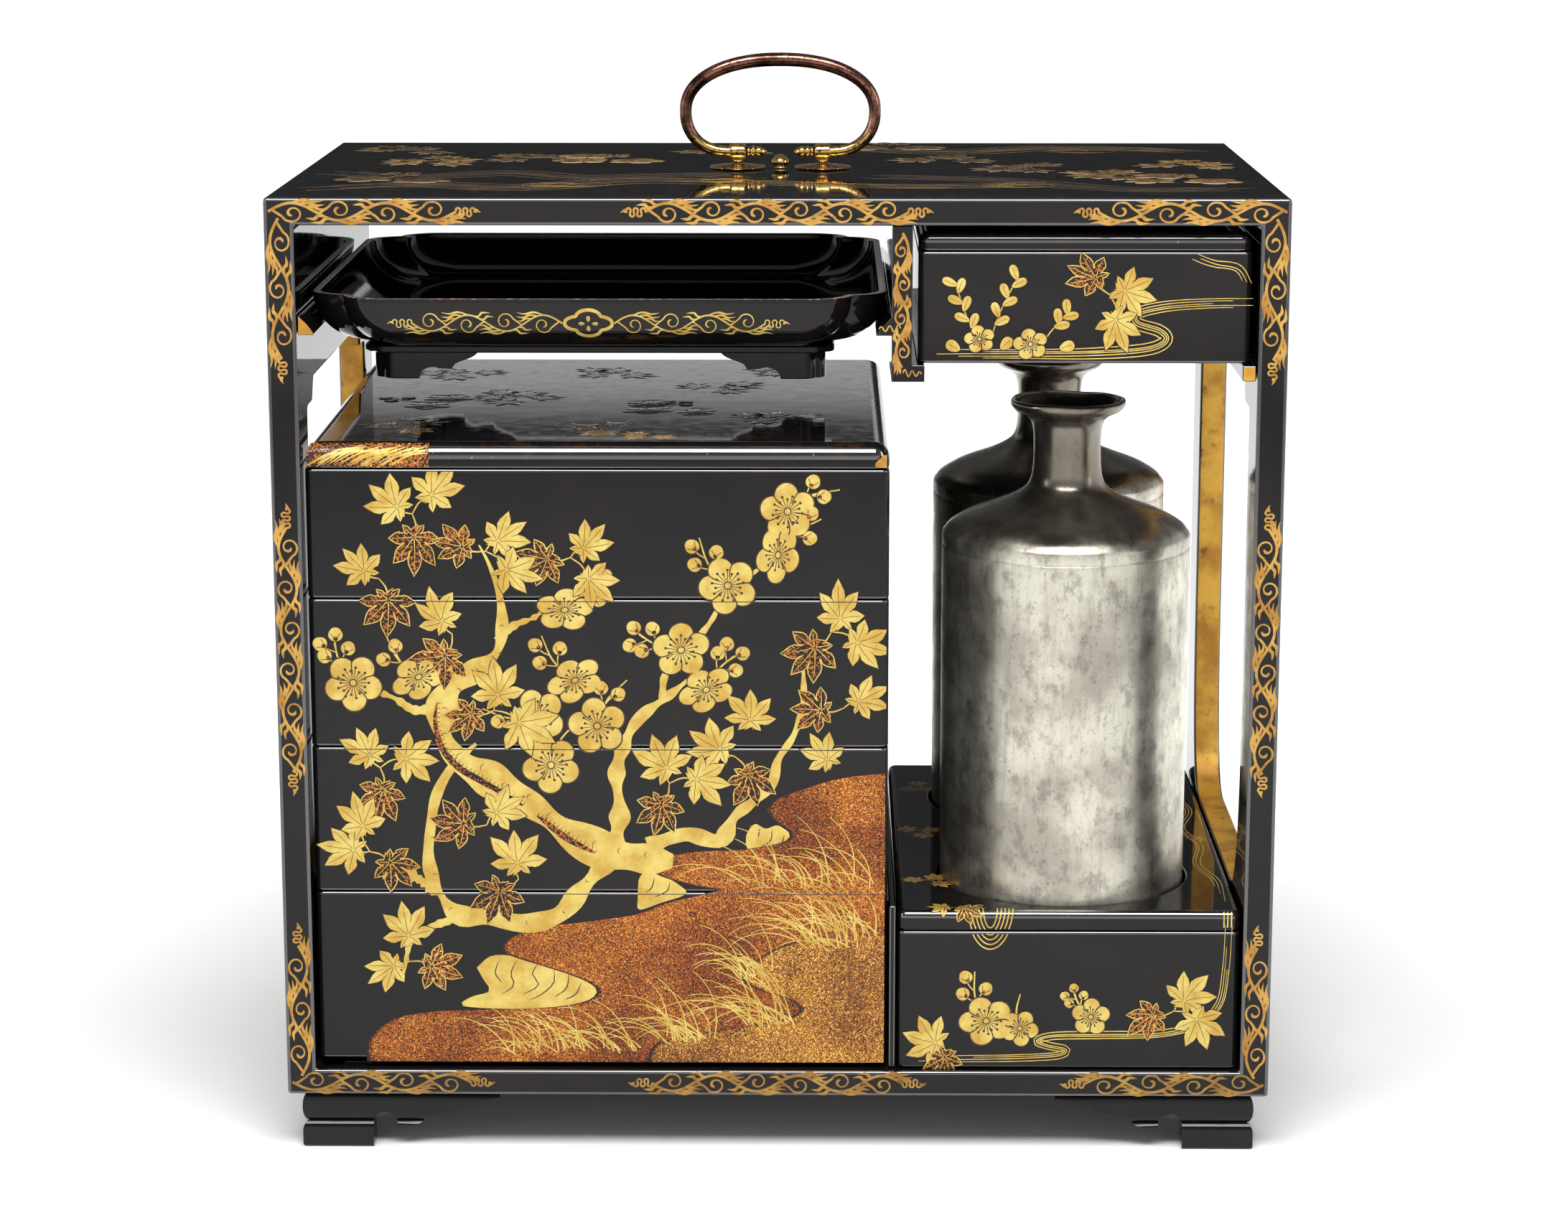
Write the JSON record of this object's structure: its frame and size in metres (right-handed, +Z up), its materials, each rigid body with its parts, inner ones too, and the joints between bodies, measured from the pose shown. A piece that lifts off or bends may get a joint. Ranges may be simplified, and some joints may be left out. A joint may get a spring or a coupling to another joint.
{
  "type": "picnic box",
  "caption": "Lacquered picnic carrier: an open case with a swing handle holds stacked food tiers, a tray, a lidded box and two metal bottles.",
  "frame": {"origin": "on the table, under the middle of the case", "axes": "+Z up, +X to the right as one faces the open front, which looks along -Y"},
  "size_m": [0.32, 0.198, 0.3509],
  "materials": {
    "black_lacquer": "gloss lacquer",
    "gold_lacquer": "satin gold lacquer",
    "patinated_brass": "patinated",
    "pewter": "dull mottled"
  },
  "bodies": {
    "case": {"case_top": "black_lacquer", "case_base": "black_lacquer", "case_side_left": "black_lacquer", "case_side_right": "black_lacquer", "hanging_divider": "black_lacquer", "tray_rail": "gold_lacquer", "box_rail": "gold_lacquer", "low_partition": "black_lacquer", "foot_front_left": "black_lacquer", "foot_front_right": "black_lacquer", "foot_back_left": "black_lacquer", "foot_back_right": "black_lacquer", "rosette_left": "patinated_brass", "rosette_right": "patinated_brass", "handle_post_left": "patinated_brass", "handle_post_right": "patinated_brass", "centre_stud": "patinated_brass", "tray": "black_lacquer", "tray_foot": "black_lacquer", "tier_1": "black_lacquer", "tier_2": "black_lacquer", "tier_3": "black_lacquer", "tier_4": "black_lacquer", "tier_lid": "black_lacquer", "small_box": "black_lacquer", "small_box_lid": "black_lacquer", "bottle_box": "black_lacquer", "bottle_box_lid": "black_lacquer", "bottle_front": "pewter", "bottle_rear": "pewter"},
    "handle": {"handle": "patinated_brass"}
  },
  "joints": [
    {"name": "handle_swing", "type": "hinge", "parent": "case", "child": "handle", "pos_m": [0, 0, 0.3181], "axis": [1, 0, 0], "range_deg": [-94, 94]}
  ]
}
